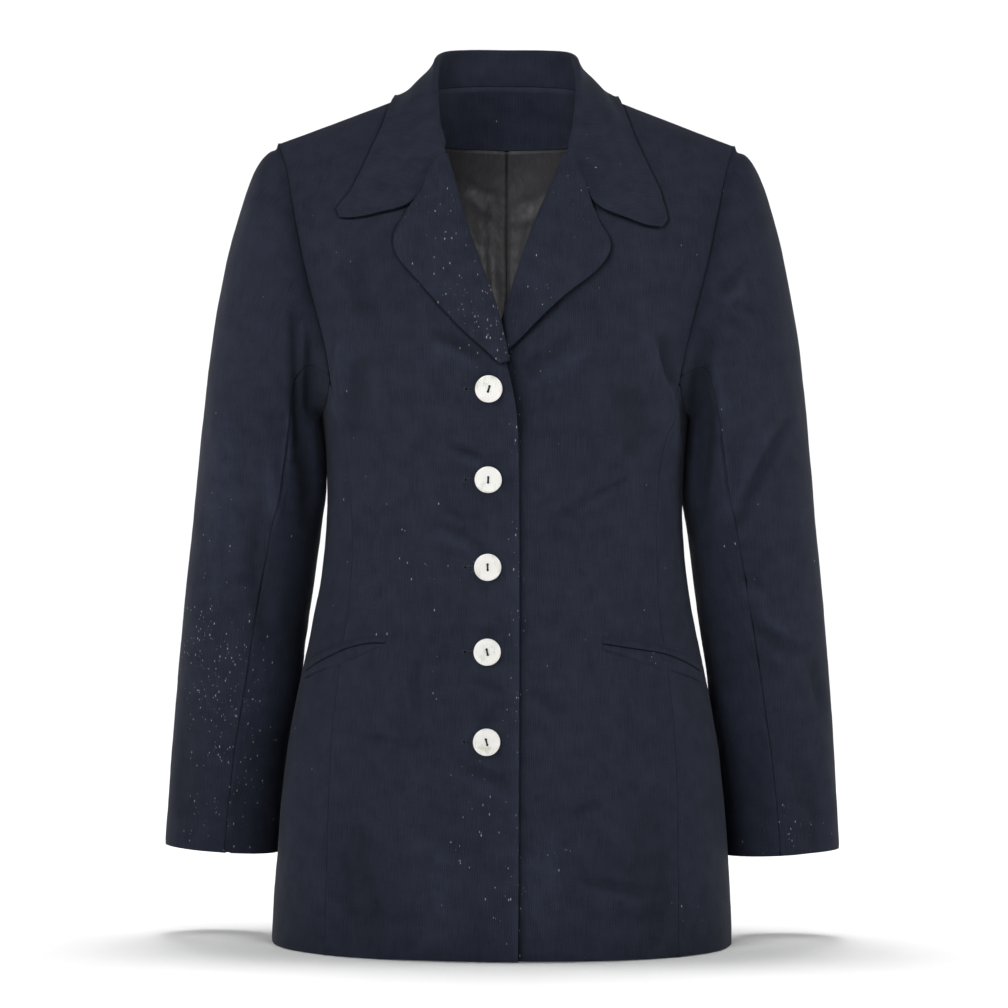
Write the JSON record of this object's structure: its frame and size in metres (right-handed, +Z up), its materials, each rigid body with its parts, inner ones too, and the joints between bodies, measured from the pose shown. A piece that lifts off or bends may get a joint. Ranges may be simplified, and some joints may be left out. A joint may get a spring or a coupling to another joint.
{
  "type": "suit jacket",
  "caption": "Fitted single-breasted suit jacket in its worn shape: notched collar, long two-piece sleeves, jetted pockets and a flared hem, hollow and open at neck, cuffs and hem.",
  "frame": {"origin": "middle of the wearer's neck base, where the neck and shoulders hold the jacket up", "axes": "+Z up the body, the front faces -Y, +X towards the wearer's left"},
  "size_m": [0.5756, 0.267, 0.7595],
  "materials": {
    "suiting": "matt navy ribbed linen-look suiting",
    "lining": "soft charcoal satin",
    "button": "pearly, polished"
  },
  "bodies": {
    "root": {"front_right": "suiting", "front_left": "suiting", "side_right": "suiting", "side_left": "suiting", "back_right": "suiting", "back_left": "suiting", "upper_sleeve_right": "suiting", "upper_sleeve_left": "suiting", "under_sleeve_right": "suiting", "under_sleeve_left": "suiting", "lapel_right": "suiting", "lapel_left": "suiting", "collar": "suiting", "back_neck_facing": "suiting", "pocket_upper_right": "suiting", "pocket_upper_left": "suiting", "pocket_lower_right": "suiting", "pocket_lower_left": "suiting", "lining_right": "lining", "lining_left": "lining", "button_1": "button", "button_2": "button", "button_3": "button", "button_4": "button", "button_5": "button"}
  },
  "joints": []
}
